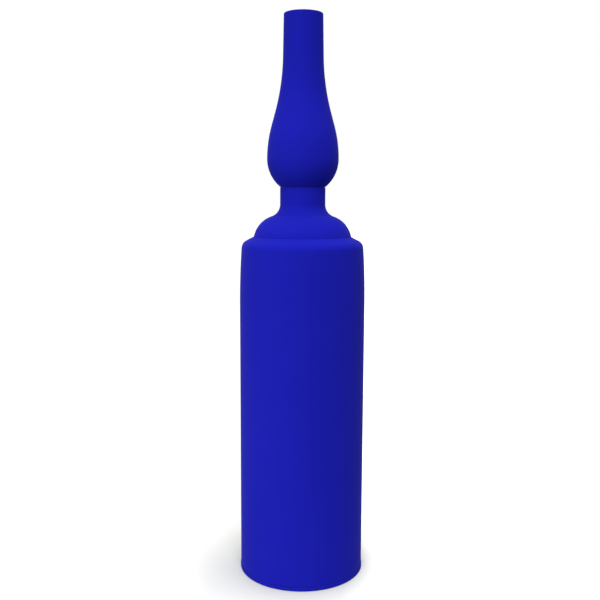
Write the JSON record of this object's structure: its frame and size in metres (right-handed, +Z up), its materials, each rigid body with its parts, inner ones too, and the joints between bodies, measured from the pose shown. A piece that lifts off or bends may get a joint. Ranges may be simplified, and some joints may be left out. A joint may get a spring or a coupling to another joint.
{
  "type": "bottle with lift-out stopper",
  "caption": "Tall round double-walled bottle: straight body on a foot lip, sloping ledge, small dome, short neck, and a pear-shaped stopper that lifts out of the mouth.",
  "frame": {"origin": "centre of the foot, on the surface that the bottle stands on", "axes": "+Z up the bottle's axis of revolution, towards the stopper's end"},
  "size_m": [0.0759, 0.0758, 0.3355],
  "materials": {
    "blue_powder_coat": "matt",
    "stainless_steel": "satin",
    "white_plastic": "moulded",
    "silicone": "moulded"
  },
  "bodies": {
    "bottle": {"outer_shell": "blue_powder_coat", "base_cup": "blue_powder_coat", "outer_bottom": "stainless_steel", "inner_flask": "stainless_steel", "inner_bottom": "stainless_steel", "shoulder_dome": "blue_powder_coat", "mouth_ring": "stainless_steel"},
    "stopper": {"stopper_head": "blue_powder_coat", "head_cap": "blue_powder_coat", "head_bush": "white_plastic", "stopper_stud": "stainless_steel", "plug_core": "white_plastic", "seat_gasket": "silicone", "seal_ring_top": "silicone", "seal_ring_middle": "silicone", "seal_ring_bottom": "silicone"}
  },
  "joints": [
    {"name": "stopper_lift", "type": "slide", "parent": "bottle", "child": "stopper", "axis": [0, 0, 1], "range_m": [0, 0.04]}
  ]
}
